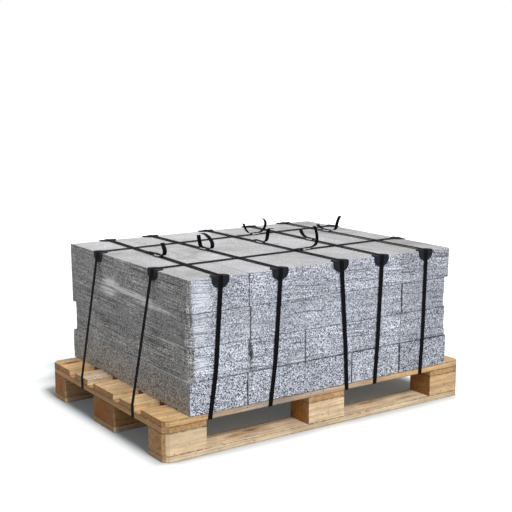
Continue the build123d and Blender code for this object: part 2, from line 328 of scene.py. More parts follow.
# Granite: feldspar, quartz and mica crystals, saw marks along each kerb and dust on top, painted shade in
# its open joints and hollows, and pale scrapes with painted highlights
CRYSTALS = [(0.0, 0.0), (0.20, 0.03), (0.32, 0.25), (0.42, 0.52), (0.68, 0.78), (0.84, 1.0)]
CRYSTAL_SCALES = (390.0, 410.0, 620.0)
EVEN_STONE = (0.46, 0.46, 0.46)
COOL_STONE = (0.925, 0.965, 1.09)
NEUTRAL_STONE = (0.80, 0.80, 0.805)
WARM_STONE = (0.84, 0.815, 0.785)
WARM_HEIGHTS = (0.14, 0.26)
# The colour of pale scrapes and painted highlights on the ends
SCRAPE_AND_HIGHLIGHT = (0.75, 0.79, 0.86)
DUST = (0.572, 0.553, 0.538)
# The painted shade of the open joints
GAP_SHADE = (0.035, 0.036, 0.04)
# Where the left face is hatched across its saw marks
HATCH_BACK = (-0.37, -0.31)
HATCH_FOOT = (0.27, 0.31)
HATCH_TOP = (0.43, 0.50)


def crystals(nodes, place, saw, end_face):
    """The speckle of split and of sawn stone, and its middling and its fine cells."""
    jagged = nodes.shaken(place, place, 260.0, 2.0, (0.005, 0.005, 0.005))
    cells = [nodes.cells(jagged, scale, channel) for channel, scale in enumerate(CRYSTAL_SCALES)]
    split, sawn, small = (nodes.ramp(values, CRYSTALS, "CONSTANT") for values in cells)
    speckle = nodes.blend(saw, split, sawn)
    speckle = nodes.blend(0.06, speckle, small)
    calm = nodes.times_plus(end_face, 0.12, nodes.span(saw, 0.0, 1.0, 0.0, 0.08))
    return nodes.blend(calm, speckle, EVEN_STONE), cells[1], cells[2]


def level_marks(nodes, place, x, y):
    """The front's saw marks, nearly level: the plain lines, and how they shade the stone."""
    tilt = nodes.vector("DOT_PRODUCT", place, (0.045, 0.03, 1.0), "Value")
    height = nodes.times_plus(nodes.noise(place, 6.0), 0.02, tilt)
    scratched = nodes.stretched((x, y, height), (5.0, 5.0, 235.0))
    lines = nodes.noise(scratched, 1.0, 2.0, 0.6)
    dark = nodes.span(lines, 0.36, 0.44, 0.30, 1.0)
    bright = nodes.span(lines, 0.58, 0.70, 1.0, 1.32)
    broad = nodes.noise(nodes.scaled(scratched, (0.5, 0.5, 0.24)), 1.0, 3.0, 0.6)
    bands = nodes.span(broad, 0.34, 0.66, 0.80, 1.20)
    return lines, nodes.times(nodes.times(dark, bright), bands)


def torn_marks(nodes, place, x, y, z):
    """The left face's rougher marks, patchy and in one place hatched: lines and shade as before."""
    leaning = nodes.vector("DOT_PRODUCT", place, (0.0, -0.025, 1.0), "Value")
    leaning = nodes.times_plus(nodes.noise(place, 3.0), 0.008, leaning)
    combed = nodes.stretched((x, y, leaning), (5.0, 7.0, 330.0))
    lines = nodes.noise(combed, 1.0, 3.0, 0.65)
    broad = nodes.noise(nodes.scaled(combed, (0.4, 0.35, 0.16)), 1.0, 2.0, 0.6)
    torn = nodes.times(nodes.span(lines, 0.35, 0.62, 0.36, 1.46), nodes.span(broad, 0.34, 0.66, 0.86, 1.16))
    hatched = nodes.noise(nodes.stretched((x, y, z), (5.0, 290.0, 12.0)), 1.0, 2.0, 0.6)
    corner = nodes.times(nodes.span(y, *HATCH_BACK, 1.0, 0.0), nodes.between(z, HATCH_FOOT, HATCH_TOP))
    hatching = nodes.times_plus(nodes.span(hatched, 0.38, 0.60, -0.45, 0.35), corner, 1.0)
    patches = nodes.span(nodes.noise(place, 4.5, 2.0, 0.6), 0.38, 0.56, 0.35, 1.15)
    return lines, nodes.faded(nodes.times(torn, hatching), patches)


def stone_tint(nodes, colour, end_face, z):
    """Cool on the front; neutral on the ends, and warmer near their foot."""
    low = nodes.span(z, *WARM_HEIGHTS, 1.0, 0.0)
    ends = nodes.blend(low, nodes.tinted(colour, NEUTRAL_STONE), nodes.tinted(colour, WARM_STONE))
    return nodes.blend(end_face, nodes.tinted(colour, COOL_STONE), ends)


def scraped_and_highlit_stone(nodes, colour, scuff, end_face, lines):
    """Pale scrapes and painted highlights, which take to the ridges between the saw marks."""
    pale = nodes.times(scuff, nodes.span(lines, 0.40, 0.54, 0.2, 1.0), clamp=True)
    pale = nodes.times(pale, nodes.times_plus(end_face, 0.9, 1.0), clamp=True)
    return nodes.blend(pale, colour, nodes.blend(end_face, SCRAPE_AND_HIGHLIGHT, WHITE))


def granite():
    material, nodes = new_material("granite")
    place = nodes.place()
    x, y, z = nodes.apart(place)
    tone, saw, seam, scuff = (nodes.attribute(name) for name in ("tone", "saw", "seam", "scuff"))
    normal = nodes.apart(nodes.add("NewGeometry").outputs["Normal"])
    top = nodes.span(normal[2], 0.6, 0.95)
    end_face = nodes.span(nodes.math("ABSOLUTE", normal[0]), 0.55, 0.9)

    speckle, middling, fine = crystals(nodes, place, saw, end_face)
    level_lines, level = level_marks(nodes, place, x, y)
    torn_lines, torn = torn_marks(nodes, place, x, y, z)
    worn_end = nodes.times(end_face, nodes.span(saw, 0.0, 0.7, 0.12, 1.0))
    marks = nodes.mix(worn_end, nodes.faded(level, saw), torn)
    stain = nodes.span(nodes.noise(place, 5.0, 3.0, 0.6), 0.3, 0.7, 0.86, 1.12)
    colour = nodes.tinted(nodes.tinted(speckle, marks), stain)
    colour = stone_tint(nodes, colour, end_face, z)
    lines = nodes.mix(end_face, level_lines, torn_lines)
    # Pale scrapes, with painted highlights on the broken corners at the front left
    colour = scraped_and_highlit_stone(nodes, colour, scuff, end_face, lines)

    dusty = nodes.tinted(nodes.blend(0.66, colour, DUST), stain)
    colour = nodes.blend(top, colour, dusty)
    # Painted shade in the open joints and hollows, left off where the ends are scraped
    ragged = nodes.span(nodes.noise(place, 45.0, 3.0, 0.6), 0.34, 0.56, 0.35, 1.0)
    bare = nodes.times_plus(nodes.times(scuff, end_face), -1.0, 1.0)
    gap_shade = nodes.times(nodes.times(seam, ragged, clamp=True), bare)
    colour = nodes.blend(gap_shade, colour, GAP_SHADE)
    colour = nodes.tinted(colour, tone)

    relief = nodes.times_plus(middling, 0.4, nodes.noise(place, 420.0))
    relief = nodes.times_plus(marks, 0.9, relief)
    roughness = nodes.span(fine, 0.0, 1.0, 0.66, 0.92)
    nodes.surface(colour, roughness, nodes.bump(relief, 0.5, 0.0006), specular=0.3)
    return material


# Sawn softwood: growth rings round a pith line that runs beside each board, and rough saw hair
PALE_WOOD = (0.80, 0.615, 0.40)
DEEP_WOOD = (0.50, 0.28, 0.12)
KNOT = (0.15, 0.065, 0.025)
GRIME = (0.20, 0.14, 0.09)
SPECK = (0.12, 0.07, 0.035)
END_TINT = (0.73, 0.56, 0.38)
HEART_TINT = (0.76, 0.46, 0.19)
HEART_EDGE = (0.038, 0.042)
HOLE = (0.09, 0.055, 0.03)
# The painted shade in the cracks between pieces
CRACK_SHADE = (0.10, 0.055, 0.025)
RINGS_PER_METRE = 210.0
RING = [(0.0, 0.05), (0.45, 0.25), (0.8, 1.0), (0.93, 0.75), (1.0, 0.05)]


def growth_rings(nodes, place):
    """The distance from the pith, and how much of the dark late wood is there."""
    bent = nodes.shaken(place, nodes.scaled(place, (2.2, 9.0, 9.0)), 1.0, 3.0, (0.0, 0.045, 0.045))
    radius = nodes.vector("LENGTH", nodes.scaled(bent, (0.0, 1.0, 1.0)), output="Value")
    ring = nodes.math("FRACT", nodes.times(radius, RINGS_PER_METRE))
    uneven = nodes.span(nodes.noise(radius, 14.0), 0.35, 0.65, 0.35, 1.0)
    return radius, nodes.times(nodes.ramp(ring, RING), uneven)


def sawn_wood(nodes, place, world, tint, late, hair, blotch):
    """The long faces: late wood, knots, saw hair, streaks, blotches, grime and specks."""
    knot = nodes.cell_distance(nodes.scaled(place, (4.0, 13.0, 9.0)), 1.0)
    halo = nodes.span(knot, 0.10, 0.34, 0.55, 0.0)
    depth = nodes.times_plus(late, 0.62, halo)
    colour = nodes.blend(depth, nodes.tinted(PALE_WOOD, tint), nodes.tinted(DEEP_WOOD, tint))
    streak = nodes.noise(nodes.scaled(place, (3.5, 110.0, 110.0)), 1.0, 3.0, 0.6)
    colour = nodes.tinted(colour, nodes.span(hair, 0.3, 0.72, 0.82, 1.12))
    colour = nodes.tinted(colour, nodes.span(streak, 0.32, 0.68, 0.70, 1.18))
    colour = nodes.tinted(colour, nodes.span(blotch, 0.34, 0.66, 0.80, 1.12))
    colour = nodes.blend(nodes.span(knot, 0.07, 0.15, 1.0, 0.0), colour, KNOT)
    dirt = nodes.noise(world, 34.0, 4.0, 0.65)
    colour = nodes.blend(nodes.span(dirt, 0.60, 0.80, 0.0, 0.6), colour, GRIME)
    specks = nodes.noise(world, 170.0)
    return nodes.blend(nodes.span(specks, 0.66, 0.74, 0.0, 0.75), colour, SPECK)


def cut_ends(nodes, colour, world, radius):
    """End grain: darker, torn across its fibres, with a browner heart."""
    heart = nodes.span(radius, *HEART_EDGE, 1.0, 0.0)
    ends = nodes.blend(heart, nodes.tinted(colour, END_TINT), nodes.tinted(colour, HEART_TINT))
    fibres = nodes.span(nodes.noise(world, 260.0, 3.0, 0.7), 0.36, 0.64, 0.66, 1.22)
    return nodes.tinted(ends, fibres)


def wood():
    material, nodes = new_material("pallet_wood")
    place = nodes.attribute("grain", "Vector")
    tint = nodes.attribute("tint", "Color")
    world = nodes.place()
    radius, late = growth_rings(nodes, place)
    hair = nodes.noise(nodes.scaled(place, (26.0, 900.0, 900.0)), 1.0, 2.0, 0.6)
    blotch = nodes.noise(world, 7.0, 4.0, 0.6, 0.4)
    colour = sawn_wood(nodes, place, world, tint, late, hair, blotch)
    colour = nodes.blend(nodes.attribute("end_grain"), colour, cut_ends(nodes, colour, world, radius))

    holes = nodes.span(nodes.cell_distance(world, 60.0), 0.09, 0.15, 0.85, 0.0)
    holes = nodes.times(holes, nodes.span(blotch, 0.40, 0.46))
    colour = nodes.blend(holes, colour, HOLE)
    # Painted shade in the cracks where pieces meet, drawn along the edges of each piece's top and bottom
    # faces
    frayed_shade = nodes.span(nodes.noise(world, 55.0, 3.0, 0.6), 0.38, 0.62, 0.15, 1.0)
    colour = nodes.blend(nodes.times(nodes.attribute("edge"), frayed_shade), colour, CRACK_SHADE)

    height = nodes.times_plus(late, 0.5, hair)
    roughness = nodes.span(hair, 0.2, 0.8, 0.62, 0.86)
    nodes.surface(colour, roughness, nodes.bump(height, 0.5, 0.0006), specular=0.3)
    return material


# Plastic and metal
BAND_BLACK = ((0.003, 0.003, 0.0035), (0.008, 0.008, 0.009))
GUARD_BLACK = ((0.012, 0.0135, 0.017), (0.021, 0.024, 0.030))
PLASTIC_DUST = (0.07, 0.07, 0.07)
ZINC = [(0.0, (0.42, 0.43, 0.44)), (1.0, (0.66, 0.67, 0.68))]
RUST = [(0.35, (0.30, 0.25, 0.20)), (0.65, (0.27, 0.17, 0.10))]


def black_plastic(name, blacks, specular, grain_scale):
    material, nodes = new_material(name)
    place = nodes.place()
    cloud = nodes.noise(place, 60.0, 4.0, 0.6)
    colour = nodes.blend(nodes.span(cloud, 0.3, 0.7), *blacks)
    dust = nodes.span(nodes.noise(place, 340.0, 3.0, 0.7), 0.62, 0.82, 0.0, 0.2)
    colour = nodes.blend(dust, colour, PLASTIC_DUST)
    grain = nodes.noise(place, grain_scale, 2.0, 0.6)
    roughness = nodes.span(cloud, 0.3, 0.7, 0.55, 0.72)
    nodes.surface(colour, roughness, nodes.bump(grain, 0.35, 0.0002), specular=specular)
    return material


def zinc_wire():
    material, nodes = new_material("galvanised_wire")
    place = nodes.place()
    spangle = nodes.cells(place, 700.0, 0)
    bump = nodes.bump(nodes.noise(place, 1500.0), 0.3, 0.0001)
    nodes.surface(nodes.ramp(spangle, ZINC), nodes.span(spangle, 0.0, 1.0, 0.32, 0.55), bump, metallic=1.0)
    return material


def nail_steel():
    material, nodes = new_material("nail_steel")
    rust = nodes.noise(nodes.place(), 260.0, 3.0, 0.6)
    bump = nodes.bump(rust, 0.4, 0.0002)
    nodes.surface(nodes.ramp(rust, RUST), nodes.span(rust, 0.3, 0.7, 0.45, 0.8), bump, metallic=0.6)
    return material


# Lattice noise for shaping meshes, from -1 to 1
HASH_PRIMES = (73856093, 19349663, 83492791)
HASH_MASK = 0x7FFFFFFF
HASH_MIX = 1274126177
HASH_SEED = 2654435761
WANDER_SIZE = 40 * MM
SHARP_ANGLE = math.radians(38)


def lattice_noise(points, seed):
    cell = np.floor(points).astype(np.int64)
    part = points - cell
    smooth = part * part * (3 - 2 * part)
    total = np.zeros(len(points))
    for corner in itertools.product((0, 1), repeat=3):
        at = cell + np.array(corner)
        mixed = at[:, 0] * HASH_PRIMES[0] ^ at[:, 1] * HASH_PRIMES[1] ^ at[:, 2] * HASH_PRIMES[2]
        mixed = (mixed ^ (seed * HASH_SEED)) & HASH_MASK
        mixed = ((mixed ^ (mixed >> 13)) * HASH_MIX) & HASH_MASK
        mixed = mixed ^ (mixed >> 16)
        weight = np.prod(np.where(np.array(corner) == 1, smooth, 1 - smooth), axis=1)
        total += weight * (mixed / HASH_MASK * 2 - 1)
    return total


def rough_noise(points, size, seed, octaves=3):
    """Noise whose largest lumps are `size` across, with finer lumps on them."""
    total = np.zeros(len(points))
    for octave in range(octaves):
        total += lattice_noise(points / size * 2 ** octave, seed + 17 * octave) / 2 ** octave
    return total / (2 - 0.5 ** (octaves - 1))


# Boxes as fine closed grids, with their lines drawn close together near the edges
def grid_lines(low, high, spacing, margins):
    near = [low] + [low + margin for margin in margins]
    far = [high - margin for margin in reversed(margins)] + [high]
    room = far[0] - near[-1]
    steps = max(1, round(room / spacing))
    between = [near[-1] + room * step / steps for step in range(1, steps)]
    return np.array(near + between + far)


def grid_box(lines):
    """Points, four-sided faces and each face's axis for a closed box on the given grid lines."""
    counts = tuple(len(line) for line in lines)
    outside = np.ones(counts, bool)
    outside[1:-1, 1:-1, 1:-1] = False
    numbers = np.full(counts, -1)
    numbers[outside] = np.arange(outside.sum())
    at = np.argwhere(outside)
    points = np.column_stack([lines[axis][at[:, axis]] for axis in range(3)])
    faces = []
    axes = []
    for axis in range(3):
        for side in (0, -1):
            slab = numbers.take(side, axis=axis)
            corners = [slab[:-1, :-1], slab[1:, :-1], slab[1:, 1:], slab[:-1, 1:]]
            if (side == 0) != (axis == 1):
                corners.reverse()
            quads = np.stack([corner.ravel() for corner in corners], axis=1)
            faces.append(quads)
            axes.append(np.full(len(quads), axis))
    return points, np.concatenate(faces), np.concatenate(axes)


def round_off(points, low, high, radius):
    """Moves a box's points in to edges of the given radius, one for each point.
    Gives the new points and each point's outward direction."""
    radius = radius[:, None]
    core = np.clip(points, np.array(low) + radius, np.array(high) - radius)
    away = points - core
    outward = away / np.maximum(np.linalg.norm(away, axis=1, keepdims=True), 1e-9)
    return core + outward * radius, outward


def cut_corner(points, corner, inward, reach, seed=0, roughness=0.0):
    """Cuts an upright edge off with a slanting plane that reaches the given way along X and Y."""
    along_x = (points[:, 0] - corner[0]) * inward[0]
    along_y = (points[:, 1] - corner[1]) * inward[1]
    reach_x = np.full(len(points), reach[0])
    reach_y = np.full(len(points), reach[1])
    if roughness:
        wander = rough_noise(points, WANDER_SIZE, seed)
        reach_x = reach_x * (1 + roughness * wander)
        reach_y = reach_y * (1 + roughness * wander)
    lack = 1 - along_x / reach_x - along_y / reach_y
    slope = 1 / reach_x ** 2 + 1 / reach_y ** 2
    push = np.maximum(lack, 0) / slope
    points[:, 0] += inward[0] * push / reach_x
    points[:, 1] += inward[1] * push / reach_y
    return points


def make_object(name, points, faces, material, slot_name, replaced=(), sharp=True):
    """A smooth-shaded piece, with its sharp edges kept if they are asked for."""
    mesh = bpy.data.meshes.new(name)
    mesh.from_pydata(points.tolist(), [], [[int(number) for number in face] for face in faces])
    mesh.polygons.foreach_set("use_smooth", [True] * len(mesh.polygons))
    mesh.materials.append(material)
    if sharp:
        mesh.set_sharp_from_angle(angle=SHARP_ANGLE)
    piece = bpy.data.objects.new(name, mesh)
    scene.collection.objects.link(piece)
    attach(piece, BODY)
    if replaced:
        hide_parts(*replaced)
    return piece


def loft(rings, closed=False):
    """Points and faces of a tube through rings of points, with flat ends unless it is closed."""
    count, sides = rings.shape[:2]
    faces = []
    for ring in range(count if closed else count - 1):
        following = (ring + 1) % count
        for step in range(sides):
            after = (step + 1) % sides
            faces.append((ring * sides + step, following * sides + step,
                          following * sides + after, ring * sides + after))
    if not closed:
        faces.append(tuple(range(sides)))
        faces.append(tuple(range(count * sides - 1, (count - 1) * sides - 1, -1)))
    return rings.reshape(-1, 3), faces


def set_attributes(piece, domain="POINT", **values):
    """Each value is a row of numbers, vectors or colours: one for each point, or for each face."""
    kinds = {1: ("FLOAT", "value"), 3: ("FLOAT_VECTOR", "vector"), 4: ("FLOAT_COLOR", "color")}
    for name, rows in values.items():
        rows = np.asarray(rows, np.float32)
        kind, field = kinds[rows.size // len(rows)]
        attribute = piece.data.attributes.new(name, kind, domain)
        attribute.data.foreach_set(field, rows.ravel())


# Kerbs of each layer from the bottom up, in millimetres as in the solids: left, right, front, back.
# A line holds the front and the back kerb of a column, or one kerb that takes up both.
LAYERS = [
    [
        (-512, -308, -399.5, 7), (-509, -307.5, 7.6, 412),
        (-305.5, -88, -398.5, 8), (-306, -88.5, 11, 410),
        (-86.5, 102, -399, 6), (-87, 103, 9, 412),
        (104, 308.5, -398, 8), (104.5, 309, 10.5, 411),
        (310.5, 524, -399, 7.5), (311, 522.5, 10, 409.5),
    ],
    [
        (-506, -299, -398.5, 6.5), (-507.5, -299.5, 7.1, 392),
        (-296.5, -88, -397.5, 8.5), (-297, -88, 11.5, 409),
        (-86.5, 104.5, -398.5, 5.5), (-86.5, 104, 8.5, 411),
        (106, 313, -397.5, 7), (105.5, 312, 10, 412),
        (314.5, 523, -398.5, 8), (314, 521, 10.5, 410.5),
    ],
    [
        (-511, -297, -398.5, 411.5),
        (-295.5, -88.5, -399, 7.5), (-295.5, -88, 10.5, 410.5),
        (-87, 104.5, -398, 8), (-86.5, 104, 11, 411.5),
        (106, 314, -398.5, 7), (105.5, 314, 9.5, 409.5),
        (316, 518, -399, 6.5), (316, 519.5, 9.5, 411),
    ],
    [
        (-512, -301.5, -399, 412),
        (-300.5, -88, -399.5, 7.5), (-300.5, -88, 9, 411.5),
        (-87, 104.5, -398.5, 8), (-87, 104.5, 9.5, 410.5),
        (105.5, 317, -399, 411),
        (318, 532, -399.5, 412),
    ],
]
# Kerbs' grids, edges, and joints with their painted shade
LAYER_SAW = [0.05, 0.9, 0.75, 0.85]
LAYER_TONE = [1.0, 1.05, 1.03, 1.11]
TONE_RANGE = 0.04
RIGHT_COLUMN = 300 * MM
RIGHT_SHADE = 0.83
KERB_SPACING = 12 * MM
KERB_MARGINS = [offset * MM for offset in (0.6, 1.5, 3, 5.5, 9, 14)]
BROKEN_MARGINS = [offset * MM for offset in (0.6, 1.5, 3, 5, 7, 9, 11, 13, 15, 18, 22, 27)]
BROKEN_ROUGHNESS = 0.5
FINE_ARRIS = 0.5 * MM
CHIP_SIZE = 22 * MM
CHIP_DEPTH = 8.0 * MM
CHIP_THRESHOLD = 0.3
RELIEF_SIZE = 34 * MM
RELIEF = 0.5 * MM
SEAM = 1.5 * MM
WIDE_SEAM = 3.2 * MM
CLOSED = 0.9 * MM
SIDE_STRIP = 12 * MM
SIDE_SEAM = 0.5
LOW_LEFT_SEAM = 0.75
HOLLOW_SHADE = 1.7
SPOT_RIM = 1.4
SCUFF_AND_HIGHLIGHT_SIZE = 14 * MM
# One kerb of the bottom layer bulges at its back left corner
BULGING_KERB = (0, 2)
BULGE = 4.5 * MM
BULGE_LENGTH = 40 * MM
BULGE_DEPTH = 80 * MM
# Broken upright edges: layer, kerb number, which side (-1 left, 1 right), reach along X and Y,
# and how much less of the edge is gone at the kerb's top than at its foot
BROKEN_EDGES = [
    (1, 1, -1, 11, 26, 0.2),
    (2, 1, -1, 14, 24, 0.1),
    (3, 1, -1, 11, 20, 0.7),
    (1, 3, -1, 16, 7, 0.75),
    (0, 9, -1, 5, 5, 0.6),
    (1, 9, 1, 9, 12, 0.3),
    (2, 8, 1, 10, 14, 0.3),
    (3, 7, 1, 6, 12, 0.4),
]
# Joints that show from the front: layer, kerb number, and how dark the painted shade is at its left and
# right edge
OPEN_JOINTS = {
    (0, 1): (0, 1), (0, 3): (1, 0), (0, 5): (0, 0.8), (0, 7): (0.8, 1), (0, 9): (1, 0),
    (1, 1): (0, 0.9), (1, 3): (0.9, 0.6), (1, 5): (0.6, 0), (2, 1): (0, 0.8), (2, 2): (0.8, 0.2),
    (2, 6): (0, 0.9), (2, 8): (0.9, 0), (3, 1): (0, 0.6), (3, 2): (0.5, 0),
}
# Hollows darkened with painted shade: layer, kerb number, middle along X, Y and Z, and reach along each, in
# millimetres
SHADED_HOLLOWS = [
    (1, 3, -293, -398, 288, 6, 30, 26),
    (0, 1, -308.5, -399, 184, 2.4, 30, 32),
    (0, 9, 311, -399, 180, 2.4, 30, 36),
    (1, 1, -301, -398, 300, 4, 30, 30),
    (3, 6, 312, -399, 494, 5, 20, 4),
]
# Pale scuffs, and painted highlights on the broken edges at the front left: layer, kerb number, middle along
# X, Y and Z, and reach along each, in millimetres
SCUFFS_AND_HIGHLIGHTS = [
    (3, 1, -468, -400, 480, 31, 30, 64),
    (2, 1, -474, -400, 385, 25, 30, 46),
    (1, 1, -468, -400, 282, 20, 30, 26),
    (3, 1, -512, 20, 437, 30, 210, 4),
    (3, 1, -512, 0, 438, 30, 120, 6),
    (3, 1, -512, 110, 450, 30, 60, 12),
    (2, 1, -512, -60, 431, 30, 150, 4),
    (2, 1, -512, -190, 418, 30, 110, 6),
    (2, 1, -512, 130, 418, 30, 60, 14),
    (1, 1, -512, -285, 327, 30, 80, 4),
    (3, 3, -150, -400, 450, 60, 30, 26),
    (1, 3, -110, -400, 240, 36, 30, 14),
]


def rows_for(table, kerb):
    """What a table says of one kerb, row by row. A kerb is its layer and its number there."""
    return [rest for layer, number, *rest in table if (layer, number) == kerb]


def spots(points, table, kerb):
    """How far each point is inside one of the kerb's listed spots, from 0 to 1."""
    inside = np.zeros(len(points))
    for at in rows_for(table, kerb):
        middle = np.array(at[:3]) * MM
        reach = np.array(at[3:]) * MM
        away = np.linalg.norm((points - middle) / reach, axis=1)
        inside = np.maximum(inside, np.clip(SPOT_RIM - away, 0, 1))
    return inside


def kerb_box(kerb, place):
    """A kerb's lowest and highest corner. Joints that don't show are closed up."""
    left, right, front, back = (value * MM for value in place)
    base = DECK_TOP + kerb[0] * KERB_HEIGHT
    dark_left, dark_right = OPEN_JOINTS.get(kerb, (0, 0))
    if left > STACK_LEFT / 2 and dark_left == 0:
        left -= CLOSED
    if right < RIGHT_TOP / 2 and dark_right == 0:
        right += CLOSED
    return (left, front, base), (right, back, base + KERB_HEIGHT)


def kerb_shape(kerb, low, high, seed):
    """A kerb's points, the same points on the plain box, and the faces."""
    broken = rows_for(BROKEN_EDGES, kerb)
    margins = [BROKEN_MARGINS if broken else KERB_MARGINS] * 2 + [KERB_MARGINS]
    lines = [grid_lines(a, b, KERB_SPACING, near) for a, b, near in zip(low, high, margins)]
    plain, faces, _ = grid_box(lines)
    chips = rough_noise(plain, CHIP_SIZE, seed)
    radius = FINE_ARRIS + CHIP_DEPTH * np.clip(chips - CHIP_THRESHOLD, 0, None)
    points, outward = round_off(plain, low, high, radius)
    hollow = 0.5 + 0.5 * rough_noise(plain, RELIEF_SIZE, seed + 5, 4)
    points -= outward * (RELIEF * hollow)[:, None]
    height = (plain[:, 2] - low[2]) / KERB_HEIGHT
    for side, reach_x, reach_y, less in broken:
        corner = (low[0] if side < 0 else high[0], low[1])
        share = 1 - less * height
        reach = (reach_x * MM * share, reach_y * MM * share)
        points = cut_corner(points, corner, (-side, 1), reach, seed + 9, BROKEN_ROUGHNESS)
    if kerb == BULGING_KERB:
        bulge = np.sin(math.pi * height) * np.clip(1 - (plain[:, 0] - low[0]) / BULGE_LENGTH, 0, 1)
        points[:, 1] += BULGE * bulge * (plain[:, 1] > high[1] - BULGE_DEPTH)
    return points, plain, faces


def near_edge(distance, width):
    """1 within half the width of an edge, and down to 0 at the whole width."""
    return np.clip(2 - 2 * distance / width, 0, 1)


def kerb_seam_shade(plain, kerb, low, high):
    """How much painted shade each point takes from the open joints round the kerb and from its hollows."""
    layer = kerb[0]
    x, y, z = plain.T
    on_front = y - low[1] < SEAM
    foot_width = np.where(on_front & (layer == 1), WIDE_SEAM, SEAM)
    top_width = np.where(on_front & (layer == 0), WIDE_SEAM, SEAM)
    below_top = high[2] - z
    if layer == len(LAYERS) - 1:
        below_top += SEAM
    seam = np.maximum(near_edge(z - low[2], foot_width), near_edge(below_top, top_width))
    seam *= np.where((x - low[0] < SIDE_STRIP) & ~on_front, SIDE_SEAM, 1.0)
    dark_left, dark_right = OPEN_JOINTS.get(kerb, (0, 0))
    joint = np.maximum(near_edge(x - low[0], WIDE_SEAM) * dark_left,
                       near_edge(high[0] - x, WIDE_SEAM) * dark_right)
    seam = np.maximum(seam, joint * on_front)
    if layer < 2 and low[0] < STACK_LEFT / 2:
        seam *= LOW_LEFT_SEAM
    return np.maximum(seam, HOLLOW_SHADE * spots(plain, SHADED_HOLLOWS, kerb))


def make_kerb(layer, number, place, material):
    seed = 1000 + 100 * layer + number
    kerb = (layer, number)
    low, high = kerb_box(kerb, place)
    points, plain, faces = kerb_shape(kerb, low, high, seed)
    piece = make_object(f"kerb_{layer + 1}_{number}", points, faces, material, "granite",
                        [f"kerb_layer_{layer + 1}"])
    draw = np.random.default_rng(seed)
    tone = LAYER_TONE[layer] + draw.uniform(-TONE_RANGE, TONE_RANGE)
    if low[0] > RIGHT_COLUMN:
        tone *= RIGHT_SHADE
    scuff = spots(plain, SCUFFS_AND_HIGHLIGHTS, kerb)
    scuff *= np.clip(0.8 + 0.6 * rough_noise(plain, SCUFF_AND_HIGHLIGHT_SIZE, seed + 31, 2), 0, 1)
    ones = np.ones(len(points))
    seam = kerb_seam_shade(plain, kerb, low, high)
    set_attributes(piece, tone=tone * ones, saw=LAYER_SAW[layer] * ones, seam=seam, scuff=scuff)


def make_kerbs(material):
    for layer, kerbs in enumerate(LAYERS):
        for number, place in enumerate(kerbs, start=1):
            make_kerb(layer, number, place, material)


# Pallet: edges, wear and grooves of its wood, and painted shade along the edges where pieces meet
WOOD_MARGINS = [offset * MM for offset in (0.8, 2.0, 4.0)]
CUT_MARGINS = WOOD_MARGINS + [offset * MM for offset in (8, 13, 18)]
WOOD_EDGE = 1.1 * MM
WEAR_SIZE = 45 * MM
DENT = 2.5 * MM
DENT_THRESHOLD = 0.45
GROOVE_SIZE = 16 * MM
GROOVE_DEPTH = 0.5 * MM
GROOVE_STRETCH = 0.12
EDGE_SHADE_WIDTH = 2.8 * MM
END_SHADE = 0.2
# The front bottom board's wane along its back: X, depth and half length, in millimetres
WANE_REACH = 40 * MM
WANES = [(300, 15, 55), (225, 5, 20), (160, 8, 26), (-240, 5, 60), (-120, 4, 40)]
# Its damp stains: X, Y and reach along each, in millimetres, and their tint
STAINS = [
    (229, -334, 46, 12, (0.62, 0.44, 0.26)), (-322, -350, 42, 10, (0.66, 0.48, 0.30)),
    (378, -360, 50, 9, (0.56, 0.56, 0.60)), (-296, -379, 36, 7, (0.56, 0.55, 0.56)),
]
# The front deck board's weathered edge, from the left to where it fades out
WEATHERED_EDGE = 2 * MM
WEATHERED_LEFT = -450 * MM
WEATHERED_RIGHT = 100 * MM
WEATHERED_FADE = 250 * MM
WEATHERED_SIZE = 120 * MM
# The pith of the blocks whose ends are seen, across and up from the block's middle, in metres
PITHS = {
    "pallet_block_4": (0.012, -0.002), "pallet_block_7": (0.014, 0.004), "pallet_block_5": (0.0, -0.09),
    "pallet_block_1": (-0.02, -0.09), "pallet_block_2": (0.01, -0.012),
}
# Where it lies in the others, drawn at random, and how long the trunk is that they are cut from
PITH_ACROSS = (-0.05, 0.05)
PITH_UP = (-0.16, -0.06)
TRUNK = 5
# Tints
PALE = (0.97, 1.0, 1.05)
GOLDEN = (0.93, 0.80, 0.62)
GREY = (0.64, 0.70, 0.90)
BROWN = (0.77, 0.62, 0.46)
PLAIN = (0.86, 0.80, 0.72)
# Boards and blocks: the solids' name, the pieces' name, the axis of the grain, the first seed, the
# steps of the grid along and across the grain in millimetres, and each piece's tint
TIMBERS = [
    ("deck_board", "deck_board_top", 0, 40, (24, 9),
     [GOLDEN, (0.97, 0.88, 0.74), (1.0, 0.92, 0.80), PALE, GOLDEN]),
    ("stringer_board", "stringer", 1, 50, (24, 9), [BROWN] * 3),
    ("bottom_board", "bottom_runner", 0, 60, (24, 9), [PALE] * 3),
    ("block", "pallet_block", 0, 70, (9, 9),
     [(1.0, 1.0, 0.99), (1.05, 1.04, 1.03), (0.86, 0.77, 0.63),
      (0.62, 0.48, 0.33), PLAIN, PLAIN, (0.70, 0.62, 0.52), PLAIN, PLAIN]),
]


def corner_cuts(low, high):
    """The upright edges that lie on the pallet's own corners, and the way in from each."""
    cuts = []
    for x, inward_x in ((low.x, 1), (high.x, -1)):
        for y, inward_y in ((low.y, 1), (high.y, -1)):
            past_end = abs(x) > PALLET_HALF_LENGTH - MM
            past_side = abs(y) > PALLET_HALF_WIDTH - MM
            if past_end and past_side:
                cuts.append(((x, y), (inward_x, inward_y)))
    return cuts


